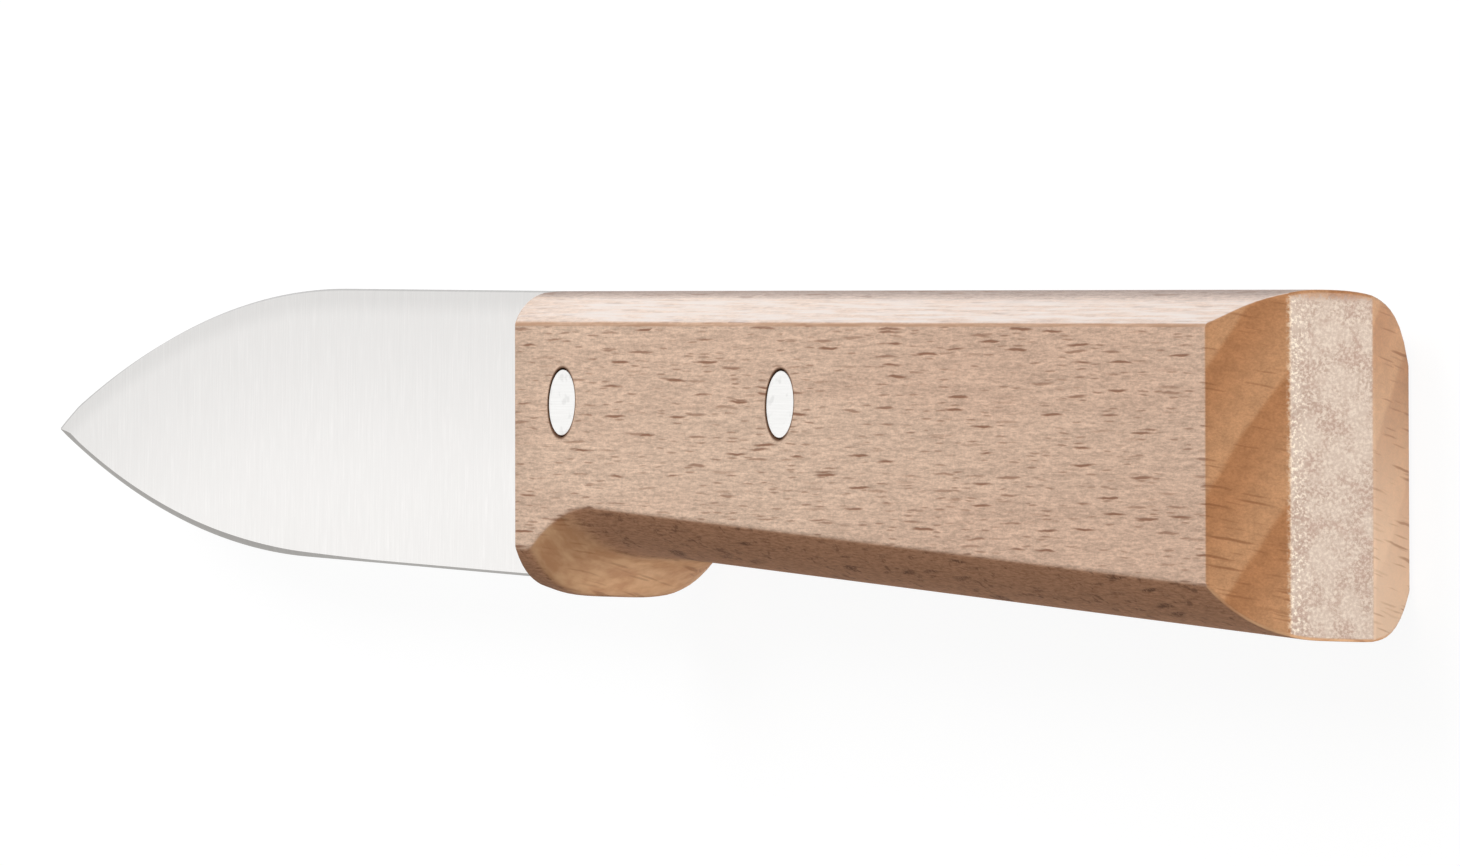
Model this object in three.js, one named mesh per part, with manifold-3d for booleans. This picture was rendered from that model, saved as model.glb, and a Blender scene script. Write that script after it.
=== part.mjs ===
// Paring knife: a short centred-point steel blade, riveted by its tang into a one-piece beech handle.
// Millimetres. The knife lies on its side: +X runs from the point to the butt, +Y from edge to spine, +Z up.
// While it is modelled, X = 0 is the front of the handle's flat sides, Y = 0 the top of the handle and
// Z = 0 the middle of the blade. The finished group is then set on its lower side, centred on the origin.
import * as THREE from 'three';
import { mergeVertices } from 'three/addons/utils/BufferGeometryUtils.js';
import Module from 'manifold-3d';

// Handle: one beech block with flat sides, a crowned top and a crowned underside
const HANDLE_THICKNESS = 12.4;
const SIDE_LENGTH = 102;
const TOP_CROWN = 2.12;
const TOP_CROWN_POWER = 2.6;
const UNDER_CROWN = 2.8;
const UNDER_CROWN_POWER = 3.1;
const FRONT_DEPTH = 15.5;
const BUTT_DEPTH = 19.9;

// Both ends: a narrow flat between two upright chamfers, raked so that the underside is longer than the top
const END_RAKE = 0.08;
const FRONT_CHAMFER_LENGTH = 4.2;
const FRONT_FLAT_WIDTH = 5.3;
const BUTT_CHAMFER_LENGTH = 3.7;
const BUTT_FLAT_WIDTH = 5.3;

// Finger guard: a lip under the front of the handle that runs back into the underside in a long cove
const GUARD_DROP = 3;
const GUARD_LENGTH = 2.7;
const GUARD_NOSE_RISE = 0.4;
const COVE_LENGTH = 9.6;
const NOSE_CROWN_POWER = 2.6;
const GUARD_CROWN_POWER = 3.9;

// Blade outline: straight spine and nearly straight edge, each ending in an arc that runs to the point
const BLADE_LENGTH = 86;
const BLADE_HEIGHT = 17.55;
const SPINE_ARC_LENGTH = 49;
const EDGE_ARC_LENGTH = 42.5;
const SPINE_RISE = 0.18;
const EDGE_RISE = 1.05;
const POINT_DEPTH = 8.7;
const POINT_FLAT = 0.1;

// Blade section: a wedge that thins towards the point, with a small edge bevel and a flat-sided ricasso
const BLADE_THICKNESS = 1.3;
const DISTAL_TAPER = 0.5;
const GRIND_THICKNESS = 0.4;
const HEEL_BEVEL_WIDTH = 0.16;
const POINT_BEVEL_WIDTH = 0.3;
const EDGE_THICKNESS = 0.06;
const RICASSO_LENGTH = 2;
const GRIND_RUNOUT = 6;
const RICASSO_MARGIN = 1.2;

// At the point, the most that spine thickness and bevel width may take of the height left there
const POINT_SPINE_SHARE = 0.25;
const POINT_BEVEL_SHARE = 0.3;

// Tang and rivets: both rivets lie on the middle line of the tang, which is ground thinner than the ricasso
const RIVET_DIAMETER = 4;
const RIVET_DEPTH = 6.9;
const RIVET_SETBACK = 7.3;
const RIVET_SPACING = 33.3;
const TANG_HEIGHT = 8.8;
const TANG_PAST_RIVET = 9;
const TANG_THINNING = 0.08;

// Clearances: shoulder to handle front, ricasso thickness to mortise, rivet to its holes
const SHOULDER_GAP = 0.15;
const MORTISE_CLEARANCE = 0.15;
const RIVET_CLEARANCE = 0.1;

// Facets of the curved surfaces
const CROWN_STEPS = 24;
const NOSE_STEPS = 10;
const LIP_STEPS = 4;
const COVE_STEPS = 12;
const UNDERSIDE_STEPS = 8;
const ARC_STEPS = 36;
const STRAIGHT_STEPS = 6;
const RUNOUT_STEPS = 6;
const RIVET_SIDES = 48;

const halfThickness = HANDLE_THICKNESS / 2;
const midDepth = FRONT_DEPTH / 2;
const frontFlatX = -FRONT_CHAMFER_LENGTH;
const buttFlatX = SIDE_LENGTH + BUTT_CHAMFER_LENGTH;
const coveEndX = GUARD_LENGTH + COVE_LENGTH;
const heelX = frontFlatX - SHOULDER_GAP;
const ricassoX = heelX - RICASSO_LENGTH;
const runoutX = ricassoX - GRIND_RUNOUT;
const pointX = frontFlatX - BLADE_LENGTH;
const rivetXs = { front_rivet: RIVET_SETBACK, rear_rivet: RIVET_SETBACK + RIVET_SPACING };
const tangEndX = rivetXs.rear_rivet + TANG_PAST_RIVET;
const tangTop = -RIVET_DEPTH + TANG_HEIGHT / 2;
const tangBottom = tangTop - TANG_HEIGHT;

// How far a cutting solid runs past the surface that it cuts
const reach = halfThickness;

const wasm = await Module();
wasm.setup();

// A closed geometry as a solid that can be joined and cut
function solidOf(geometry) {
  const bare = geometry.index ? geometry.toNonIndexed() : geometry.clone();
  for (const name of Object.keys(bare.attributes)) {
    if (name !== 'position') bare.deleteAttribute(name);
  }
  const merged = mergeVertices(bare);
  const mesh = new wasm.Mesh({
    numProp: 3,
    vertProperties: new Float32Array(merged.attributes.position.array),
    triVerts: new Uint32Array(merged.index.array),
  });
  return new wasm.Manifold(mesh);
}

// A solid back as a geometry with flat facets
function geometryOf(solid) {
  const mesh = solid.getMesh();
  const indexed = new THREE.BufferGeometry();
  indexed.setAttribute('position', new THREE.BufferAttribute(new Float32Array(mesh.vertProperties), 3));
  indexed.setIndex(new THREE.BufferAttribute(new Uint32Array(mesh.triVerts), 1));
  const faceted = indexed.toNonIndexed();
  faceted.computeVertexNormals();
  return faceted;
}

// Evenly spaced values from start up to, but without, end
function spread(start, end, steps) {
  return Array.from({ length: steps }, (_, i) => start + ((end - start) * i) / steps);
}

// A closed skin over a row of sections with as many points each, listed anticlockwise seen from +X
function loft(sections) {
  const count = sections[0].length;
  const corners = [];
  const quad = (a, b, c, d) => corners.push(a, b, c, a, c, d);
  for (let i = 0; i + 1 < sections.length; i += 1) {
    for (let j = 0; j < count; j += 1) {
      const k = (j + 1) % count;
      quad(sections[i][j], sections[i + 1][j], sections[i + 1][k], sections[i][k]);
    }
  }
  // Each end is closed across its pairs of facing points, which keeps the triangles inside the section
  const first = sections[0];
  const last = sections[sections.length - 1];
  for (let j = 0; j + 1 < count / 2; j += 1) {
    const opposite = count - 1 - j;
    quad(first[j], first[j + 1], first[opposite - 1], first[opposite]);
    quad(last[opposite], last[opposite - 1], last[j + 1], last[j]);
  }
  const geometry = new THREE.BufferGeometry().setFromPoints(corners);
  geometry.computeVertexNormals();
  return geometry;
}

// X at height y on an end plane that stands at x at half the handle's depth
function raked(x, y) {
  return x - END_RAKE * (y + midDepth);
}

// Depth of the underside's lowest line below the top of the handle: guard, cove, then a straight slope
function undersideDepth(x) {
  const slope = (BUTT_DEPTH - FRONT_DEPTH) / buttFlatX;
  const straight = FRONT_DEPTH + slope * x;
  if (x >= coveEndX) return straight;
  const guard = FRONT_DEPTH + GUARD_DROP;
  if (x <= GUARD_LENGTH) return guard - GUARD_NOSE_RISE * Math.max(0, x / frontFlatX) ** 2;
  const share = (coveEndX - x) / COVE_LENGTH;
  const lip = guard - (FRONT_DEPTH + slope * GUARD_LENGTH);
  return straight + lip * share ** 2;
}

// Power of the underside's crown at x: round at the nose of the guard, squarest at its rear lip
function undersidePower(x) {
  const lip = THREE.MathUtils.smoothstep(x, -GUARD_LENGTH, GUARD_LENGTH);
  if (x <= GUARD_LENGTH) return THREE.MathUtils.lerp(NOSE_CROWN_POWER, GUARD_CROWN_POWER, lip);
  const past = THREE.MathUtils.smoothstep(x, GUARD_LENGTH, coveEndX);
  return THREE.MathUtils.lerp(GUARD_CROWN_POWER, UNDER_CROWN_POWER, past);
}

// Handle section at x: crowned top from +Z to -Z, then crowned underside from -Z back to +Z
function handleSection(x) {
  const shares = [...spread(-1, 1, CROWN_STEPS), 1];
  const crowned = (ridge, drop, power) => shares.map((share) => {
    const y = ridge - drop * Math.abs(share) ** power;
    return new THREE.Vector3(x, y, share * halfThickness);
  });
  const top = crowned(0, TOP_CROWN, TOP_CROWN_POWER);
  const underside = crowned(-undersideDepth(x), -UNDER_CROWN, undersidePower(x));
  return [...top.reverse(), ...underside];
}

// The long block that the ends, the mortise and the rivet holes are cut from
function handleBlock() {
  const rearX = buttFlatX + reach;
  const stations = [
    ...spread(frontFlatX - reach, 0, NOSE_STEPS),
    ...spread(0, GUARD_LENGTH, LIP_STEPS),
    ...spread(GUARD_LENGTH, coveEndX, COVE_STEPS),
    ...spread(coveEndX, rearX, UNDERSIDE_STEPS),
    rearX,
  ];
  return loft(stations.map(handleSection));
}

// Everything between the two raked ends: the handle's plan with its four chamfers, drawn out along Y
function endsPrism() {
  const outerZ = halfThickness + reach;
  const chamferWidth = (flatWidth) => halfThickness - flatWidth / 2;
  const frontX = (FRONT_CHAMFER_LENGTH / chamferWidth(FRONT_FLAT_WIDTH)) * reach;
  const rearX = SIDE_LENGTH - (BUTT_CHAMFER_LENGTH / chamferWidth(BUTT_FLAT_WIDTH)) * reach;
  const plan = new THREE.Shape();
  plan.moveTo(frontFlatX, -FRONT_FLAT_WIDTH / 2);
  plan.lineTo(frontX, -outerZ);
  plan.lineTo(rearX, -outerZ);
  plan.lineTo(buttFlatX, -BUTT_FLAT_WIDTH / 2);
  plan.lineTo(buttFlatX, BUTT_FLAT_WIDTH / 2);
  plan.lineTo(rearX, outerZ);
  plan.lineTo(frontX, outerZ);
  plan.lineTo(frontFlatX, FRONT_FLAT_WIDTH / 2);
  plan.closePath();
  const depth = BUTT_DEPTH + GUARD_DROP + 2 * reach;
  const prism = new THREE.ExtrudeGeometry(plan, { depth, bevelEnabled: false });
  prism.rotateX(Math.PI / 2);
  prism.translate(-END_RAKE * midDepth, reach, 0);
  prism.applyMatrix4(new THREE.Matrix4().makeShear(0, 0, -END_RAKE, 0, 0, 0));
  return prism;
}

// A round bar across the handle at one rivet's place
function crossBar(x, diameter, length) {
  const bar = new THREE.CylinderGeometry(diameter / 2, diameter / 2, length, RIVET_SIDES);
  bar.rotateX(Math.PI / 2);
  bar.translate(x, -RIVET_DEPTH, 0);
  return bar;
}

// A solid with the two rivet holes bored through it
function boredForRivets(solid) {
  const diameter = RIVET_DIAMETER + 2 * RIVET_CLEARANCE;
  const drills = Object.values(rivetXs).map((x) => crossBar(x, diameter, HANDLE_THICKNESS + 2 * reach));
  return drills.reduce((left, drill) => left.subtract(solidOf(drill)), solid);
}

function handleGeometry() {
  const mortiseEnd = tangEndX + MORTISE_CLEARANCE;
  const mortiseFront = frontFlatX - reach;
  const mortise = new THREE.BoxGeometry(
    mortiseEnd - mortiseFront,
    TANG_HEIGHT + 2 * MORTISE_CLEARANCE,
    BLADE_THICKNESS + 2 * MORTISE_CLEARANCE,
  );
  mortise.translate((mortiseFront + mortiseEnd) / 2, -RIVET_DEPTH, 0);
  const body = solidOf(handleBlock()).intersect(solidOf(endsPrism())).subtract(solidOf(mortise));
  return geometryOf(boredForRivets(body));
}

// Height at x on the circle that leaves start with the given slope and passes through end
function tangentArc(start, slope, end) {
  const normal = new THREE.Vector2(-slope, 1).normalize();
  const chord = end.clone().sub(start);
  const radius = chord.lengthSq() / (2 * chord.dot(normal));
  const centre = start.clone().addScaledVector(normal, radius);
  return (x) => centre.y - Math.sign(radius) * Math.sqrt(radius ** 2 - (x - centre.x) ** 2);
}

// Outline from the heel: a straight run from heelY that rises by rise, then the arc to the point
function outlineEdge(heelY, rise, arcLength, endY) {
  const arcX = pointX + arcLength;
  const slope = -rise / (heelX - arcX);
  const arc = tangentArc(new THREE.Vector2(arcX, heelY + rise), slope, new THREE.Vector2(pointX, endY));
  return (x) => (x >= arcX ? heelY + slope * (x - heelX) : arc(x));
}

const spineY = outlineEdge(0, SPINE_RISE, SPINE_ARC_LENGTH, -POINT_DEPTH + POINT_FLAT / 2);
const edgeY = outlineEdge(-BLADE_HEIGHT, EDGE_RISE, EDGE_ARC_LENGTH, -POINT_DEPTH - POINT_FLAT / 2);

// An eight-sided section from half-thicknesses at four heights, listed from the spine down
function plateSection(heights, halves, xAt) {
  const side = (sign) => heights.map((y, i) => new THREE.Vector3(xAt(y), y, sign * halves[i]));
  return [...side(-1), ...side(1).reverse()];
}

// Blade section at x: spine, belly, bevel line and edge, each no thicker than the one above, also at the point
function bladeSection(x) {
  const spine = spineY(x);
  const edge = edgeY(x);
  const height = spine - edge;
  const along = (heelX - x) / BLADE_LENGTH;
  const bevelWidth = THREE.MathUtils.lerp(HEEL_BEVEL_WIDTH, POINT_BEVEL_WIDTH, along);
  const bevelY = edge + Math.min(bevelWidth, height * POINT_BEVEL_SHARE);
  const thickness = BLADE_THICKNESS * (1 - DISTAL_TAPER * along ** 2);
  const spineHalf = Math.min(thickness, height * POINT_SPINE_SHARE) / 2;
  const grindHalf = Math.min(GRIND_THICKNESS, spineHalf) / 2;
  const edgeHalf = Math.min(EDGE_THICKNESS, grindHalf) / 2;
  const full = THREE.MathUtils.smoothstep(x, runoutX, ricassoX);
  const bellyY = THREE.MathUtils.lerp((spine + bevelY) / 2, tangBottom - RICASSO_MARGIN, full);
  const bellyHalf = THREE.MathUtils.lerp((spineHalf + grindHalf) / 2, spineHalf, full);
  const heights = [spine, bellyY, bevelY, edge];
  const halves = [spineHalf, bellyHalf, grindHalf, edgeHalf];
  return plateSection(heights, halves, (y) => (x < ricassoX ? x : raked(x, y)));
}

// Tang section: a plain strip, thinner than the ricasso so that the shoulders run all round it
function tangSection(xAt) {
  const half = (BLADE_THICKNESS - TANG_THINNING) / 2;
  const heights = [...spread(tangTop, tangBottom, 3), tangBottom];
  return plateSection(heights, heights.map(() => half), xAt);
}

function bladeGeometry() {
  const arcX = pointX + Math.max(SPINE_ARC_LENGTH, EDGE_ARC_LENGTH);
  const stations = [
    ...spread(pointX, arcX, ARC_STEPS),
    ...spread(arcX, runoutX, STRAIGHT_STEPS),
    ...spread(runoutX, ricassoX, RUNOUT_STEPS),
    ricassoX,
    heelX,
  ];
  const tang = [tangSection((y) => raked(heelX, y)), tangSection(() => tangEndX)];
  return geometryOf(boredForRivets(solidOf(loft([...stations.map(bladeSection), ...tang]))));
}

function part(name, geometry, material) {
  const mesh = new THREE.Mesh(geometry, material);
  mesh.name = name;
  return mesh;
}

const steel = new THREE.MeshStandardMaterial({ color: 0xd8d9d8, roughness: 0.38, metalness: 1 });
const beech = new THREE.MeshStandardMaterial({ color: 0xcaa88a, roughness: 0.72, metalness: 0 });
const aluminium = new THREE.MeshStandardMaterial({ color: 0xe6e6e4, roughness: 0.3, metalness: 1 });

const knife = new THREE.Group();
knife.add(part('blade', bladeGeometry(), steel));
knife.add(part('handle', handleGeometry(), beech));
for (const [name, x] of Object.entries(rivetXs)) {
  knife.add(part(name, crossBar(x, RIVET_DIAMETER, HANDLE_THICKNESS), aluminium.clone()));
}

// Set down on the lower side of the handle, with the middle of its length and height over the origin
const box = new THREE.Box3().setFromObject(knife);
const middle = box.getCenter(new THREE.Vector3());
knife.position.set(-middle.x, -middle.y, -box.min.z);

export default knife;
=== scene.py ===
# %% [markdown]
# # A paring knife in steel and beech
#
# This knife is four pieces: a ground blade with a hidden tang, a one-piece beech handle, and two
# aluminium rivets that go right through both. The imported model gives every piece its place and
# size. Each piece is modelled again here with finer edges, and then gets a finish of its own.

# %% Load the frame
import math

import bmesh
import bpy
from mathutils import Matrix, Vector


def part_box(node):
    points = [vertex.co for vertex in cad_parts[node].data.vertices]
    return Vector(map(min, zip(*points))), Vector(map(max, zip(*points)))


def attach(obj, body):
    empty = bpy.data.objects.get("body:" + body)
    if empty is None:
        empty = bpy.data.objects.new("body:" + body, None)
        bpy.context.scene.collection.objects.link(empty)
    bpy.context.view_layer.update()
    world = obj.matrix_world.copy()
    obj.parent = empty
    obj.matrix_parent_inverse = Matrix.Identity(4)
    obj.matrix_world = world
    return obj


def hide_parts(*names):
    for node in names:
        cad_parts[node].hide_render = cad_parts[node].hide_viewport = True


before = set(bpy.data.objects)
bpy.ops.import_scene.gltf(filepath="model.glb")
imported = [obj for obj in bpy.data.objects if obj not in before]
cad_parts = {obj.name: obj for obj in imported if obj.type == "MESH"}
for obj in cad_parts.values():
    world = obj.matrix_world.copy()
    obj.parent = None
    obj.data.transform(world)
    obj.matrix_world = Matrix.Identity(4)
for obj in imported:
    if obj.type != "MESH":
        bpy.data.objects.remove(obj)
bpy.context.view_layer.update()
print("nodes in the frame:", ", ".join(sorted(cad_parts)))

# %% [markdown]
# ## A frame that suits a knife
#
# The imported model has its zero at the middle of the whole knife, in metres. A knife is easier to
# draw in millimetres from its handle: X runs from the front of the handle's side face to the butt,
# Y is zero on the top ridge, and Z is zero on the middle plane that blade and handle share. One
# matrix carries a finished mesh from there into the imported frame, so each object stays at the
# origin with its place in its mesh.

# %% The knife's own frame
MM = 0.001
RIVET_SETBACK = 7.3

handle_low, handle_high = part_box("handle")
rivet_low, rivet_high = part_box("front_rivet")
rivet_middle = (rivet_low + rivet_high) / 2
knife_zero = Vector((rivet_middle.x - RIVET_SETBACK * MM, handle_high.y, rivet_middle.z))
knife_to_frame = Matrix.Translation(knife_zero) @ Matrix.Scale(MM, 4)
HALF_THICKNESS = (handle_high.z - handle_low.z) / 2 / MM
print("knife zero in mm:", [round(value / MM, 2) for value in knife_zero])


# %% Helpers for places and meshes
def lerp(low, high, share):
    return low + (high - low) * share


def smoothstep(value, low, high):
    share = min(max((value - low) / (high - low), 0.0), 1.0)
    return share * share * (3 - 2 * share)


def everything(bm):
    return [*bm.verts, *bm.edges, *bm.faces]


def new_object(bm, name):
    """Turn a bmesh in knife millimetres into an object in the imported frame."""
    bmesh.ops.transform(bm, matrix=knife_to_frame, verts=bm.verts)
    mesh = bpy.data.meshes.new(name)
    bm.to_mesh(mesh)
    bm.free()
    piece = bpy.data.objects.new(name, mesh)
    bpy.context.scene.collection.objects.link(piece)
    return piece


def stand_for(piece, node):
    """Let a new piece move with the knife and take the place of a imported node."""
    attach(piece, "root")
    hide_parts(node)
    faces = len(piece.data.polygons)
    print(f"{piece.name} stands for {node}: {faces} faces")


# %% [markdown]
# ## The handle's block
#
# The real handle starts as a stick of beech that a moulder planes to one section: flat sides, a
# gently crowned top and a crowned underside. A box does the same here. Its four crosswise edges
# are cut into columns, and each column is lowered or raised to the crown. The columns are spaced
# so that one falls on each corner of the end faces, which keeps the later cuts free of slivers.

# %% Section of the block
FRONT_DEPTH = 15.5
BUTT_DEPTH = 19.9
BUTT_FLAT_X = 105.7
TOP_CROWN = 2.12
TOP_CROWN_POWER = 2.6
FAR_TOP_ROUNDING = 2.0
FAR_TOP_POWER = 9
UNDER_CROWN = 2.8
UNDER_CROWN_POWER = 3.1
FAR_CROWN_POWER = 5.0
FLAT_HALF_WIDTH = 2.65
FLAT_COLUMNS = 6
CHAMFER_COLUMNS = 8
FRONT_FLAT_X = -4.2
SPARE_LENGTH = 6.0

half_columns = FLAT_COLUMNS + CHAMFER_COLUMNS


def straight_depth(x):
    return lerp(FRONT_DEPTH, BUTT_DEPTH, x / BUTT_FLAT_X)


def top_drop(share, side):
    """Crown of the top, with the far corner rounded over more."""
    drop = TOP_CROWN * share**TOP_CROWN_POWER
    return drop if side > 0 else drop + FAR_TOP_ROUNDING * share**FAR_TOP_POWER


def under_power(z):
    """Power of the underside's crown: higher, and so fuller, on the far side."""
    return UNDER_CROWN_POWER if z > 0 else FAR_CROWN_POWER


def column_place(column):
    """Distance of a column from the middle plane, with one column on the flat's corner."""
    if column <= FLAT_COLUMNS:
        return FLAT_HALF_WIDTH * column / FLAT_COLUMNS
    return lerp(FLAT_HALF_WIDTH, HALF_THICKNESS, (column - FLAT_COLUMNS) / CHAMFER_COLUMNS)


handle_mesh = bmesh.new()
bmesh.ops.create_cube(handle_mesh, size=2.0)
crosswise = [line for line in handle_mesh.edges if abs(line.verts[0].co.z - line.verts[1].co.z) > 1]
bmesh.ops.subdivide_edges(handle_mesh, edges=crosswise, cuts=2 * half_columns - 1, use_grid_fill=True)
for vert in handle_mesh.verts:
    side = math.copysign(1.0, vert.co.z)
    place = column_place(round(abs(vert.co.z) * half_columns))
    share = place / HALF_THICKNESS
    x = BUTT_FLAT_X + SPARE_LENGTH if vert.co.x > 0 else FRONT_FLAT_X - SPARE_LENGTH
    if vert.co.y > 0:
        y = -top_drop(share, side)
    else:
        y = -straight_depth(x) + UNDER_CROWN * share ** under_power(side)
    vert.co = (x, y, side * place)
print("block columns:", 2 * half_columns, "faces:", len(handle_mesh.faces))

# %% [markdown]
# ## Cutting the ends
#
# Both ends are sawn off with a slight rake and then chamfered on both sides, so each end is a flat
# band between two slanted faces. Six plane cuts do this as a saw would: `bisect_plane` removes
# what lies outside, and `edgeloop_fill` closes the cut with one flat face.

# %% Six plane cuts
END_RAKE = 0.08
RAKE_MIDDLE = 7.75
SIDE_LENGTH = 102.0
FAR_SIDE_EXTRA = 0.8
CUT_TOLERANCE = 1e-4


def saw(bm, point, normal):
    cut = bmesh.ops.bisect_plane(
        bm, geom=everything(bm), dist=CUT_TOLERANCE, plane_co=point, plane_no=normal, clear_outer=True
    )
    rim = [item for item in cut["geom_cut"] if isinstance(item, bmesh.types.BMEdge)]
    bmesh.ops.edgeloop_fill(bm, edges=rim)


rise = HALF_THICKNESS - FLAT_HALF_WIDTH
saw(handle_mesh, (FRONT_FLAT_X, -RAKE_MIDDLE, 0), (-1, -END_RAKE, 0))
saw(handle_mesh, (BUTT_FLAT_X, -RAKE_MIDDLE, 0), (1, END_RAKE, 0))
for side, butt_x in ((1, SIDE_LENGTH), (-1, SIDE_LENGTH + FAR_SIDE_EXTRA)):
    edge_z = side * HALF_THICKNESS
    front_slant = (-rise, -rise * END_RAKE, side * -FRONT_FLAT_X)
    butt_slant = (rise, rise * END_RAKE, side * (BUTT_FLAT_X - butt_x))
    saw(handle_mesh, (0, -RAKE_MIDDLE, edge_z), front_slant)
    saw(handle_mesh, (butt_x, -RAKE_MIDDLE, edge_z), butt_slant)
print("faces after the cuts:", len(handle_mesh.faces))

# %% [markdown]
# ## Easing the edges
#
# A sanded handle has no razor edges: every corner is broken by a few strokes of fine paper. The
# bevel comes now, while the mesh is still simple, because a bevel slides along its neighbours and
# needs room there. Each vertex keeps how much of it is bevel: 1 in the middle of one, about one
# half at its border, and 0 elsewhere.

# %% Bevel
EASED_EDGE = 0.22
SHARP_ANGLE = math.radians(24)

sharp = [line for line in handle_mesh.edges if line.calc_face_angle(0) > SHARP_ANGLE]
eased = bmesh.ops.bevel(
    handle_mesh, geom=sharp, offset=EASED_EDGE, offset_type="OFFSET", segments=4, profile=0.5,
    affect="EDGES", material=-1, clamp_overlap=True,
)
bevel_faces = set(eased["faces"])
eased_layer = handle_mesh.verts.layers.float.new("eased")
for vert in handle_mesh.verts:
    vert[eased_layer] = sum(face in bevel_faces for face in vert.link_faces) / len(vert.link_faces)
print("eased edges:", len(sharp), "bevel faces:", len(bevel_faces))

# %% [markdown]
# ## Shoulders of the top
#
# Sanding by hand is never quite even. On the side that faces up here, the top's shoulder is left
# full at the front and is rubbed flatter towards the butt. The long faces of the top run from end to
# end, so it is enough to lift or lower their end vertices. They move along the raked ends, which
# therefore stay flat.

# %% Full at the front, flat at the butt
FRONT_SHOULDER = 0.4
BUTT_SHOULDER = -0.35
SHOULDER_POWER = 12


def is_low(vert):
    return vert.co.y < -straight_depth(vert.co.x) / 2


def move_along_rake(vert, lift):
    vert.co.x -= END_RAKE * lift
    vert.co.y += lift


upper_near = [vert for vert in handle_mesh.verts if vert.co.z > 0 and not is_low(vert)]
for vert in upper_near:
    share = min(vert.co.z / HALF_THICKNESS, 1.0)
    shoulder = lerp(FRONT_SHOULDER, BUTT_SHOULDER, vert.co.x / BUTT_FLAT_X)
    move_along_rake(vert, shoulder * (share**TOP_CROWN_POWER - share**SHOULDER_POWER))
print("shoulder vertices:", len(upper_near))

# %% [markdown]
# ## The finger guard
#
# Behind the blade the underside swells into a small guard that keeps the forefinger off the
# heel. A shaper cutter leaves it as a short lip with a hollow, the cove, running back into the
# straight underside. The lower faces are cut across at close stations and then pulled down. They
# move along the raked end, so the flat faces in front stay flat.

# %% Pull the guard down
GUARD_DROP = 3.0
GUARD_LENGTH = 2.7
GUARD_NOSE_RISE = 0.4
COVE_LENGTH = 9.6
LIP_ROUNDING = 0.55
NOSE_CROWN_POWER = 2.6
GUARD_CROWN_POWER = 3.9
STATION_STEP = 0.5
STATION_SPARE = 2

cove_end = GUARD_LENGTH + COVE_LENGTH


def sharp_guard(x):
    """Extra depth below the straight underside, with a crisp rear lip."""
    if x >= cove_end:
        return 0.0
    lip = FRONT_DEPTH + GUARD_DROP - straight_depth(GUARD_LENGTH)
    if x > GUARD_LENGTH:
        return lip * ((cove_end - x) / COVE_LENGTH) ** 2
    nose = GUARD_NOSE_RISE * max(0.0, x / FRONT_FLAT_X) ** 2
    return FRONT_DEPTH + GUARD_DROP - nose - straight_depth(x)


def guard_depth(x):
    """The same depth with its lip rounded over by averaging three places."""
    places = (x - LIP_ROUNDING, x, x + LIP_ROUNDING)
    return sum(sharp_guard(place) for place in places) / len(places)


def crown_power(x, z):
    if x <= GUARD_LENGTH:
        return lerp(NOSE_CROWN_POWER, GUARD_CROWN_POWER, smoothstep(x, -GUARD_LENGTH, GUARD_LENGTH))
    return lerp(GUARD_CROWN_POWER, under_power(z), smoothstep(x, GUARD_LENGTH, cove_end))


stations = math.ceil((cove_end - FRONT_FLAT_X + STATION_SPARE) / STATION_STEP)
for station in range(1, stations):
    low_faces = [face for face in handle_mesh.faces if all(map(is_low, face.verts))]
    low_edges = {line for face in low_faces for line in face.edges}
    low_verts = {vert for face in low_faces for vert in face.verts}
    bmesh.ops.bisect_plane(
        handle_mesh, geom=[*low_verts, *low_edges, *low_faces], dist=CUT_TOLERANCE,
        plane_co=(FRONT_FLAT_X + station * STATION_STEP, 0, 0), plane_no=(1, 0, 0),
    )
for vert in filter(is_low, handle_mesh.verts):
    share = min(abs(vert.co.z) / HALF_THICKNESS, 1.0)
    new_power = crown_power(vert.co.x, vert.co.z)
    crown = UNDER_CROWN * (share**new_power - share ** under_power(vert.co.z))
    move_along_rake(vert, crown - guard_depth(vert.co.x))
print("guard stations:", stations - 1, "lowest point:", round(min(v.co.y for v in handle_mesh.verts), 2))

# %% [markdown]
# ## Rivet holes and the mortise
#
# Two drilled holes go through handle and tang, and a closed mortise takes the tang from the front.
# Round and square cutters subtracted with a boolean are the plainest way to make them. The
# modifier is applied at once, because the finish needs the final surface.

# %% Cutters and the boolean cut
RIVET_Y = -6.9
RIVET_PLACES = {"front_rivet": (RIVET_SETBACK, RIVET_Y), "rear_rivet": (40.6, RIVET_Y)}
RIVET_DIAMETER = 4.0
RIVET_CLEARANCE = 0.1
ROUND_SEGMENTS = 96
MORTISE_TOP = -2.35
MORTISE_BOTTOM = -11.45
MORTISE_END = 49.75
MORTISE_THICKNESS = 1.6


def rivet_drills():
    """Two round cutters, as wide as the rivet holes."""
    drills = bmesh.new()
    radius = RIVET_DIAMETER / 2 + RIVET_CLEARANCE
    for x, y in RIVET_PLACES.values():
        bmesh.ops.create_cone(
            drills, cap_ends=True, segments=ROUND_SEGMENTS, depth=4 * HALF_THICKNESS,
            radius1=radius, radius2=radius, matrix=Matrix.Translation((x, y, 0)),
        )
    return drills


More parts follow.
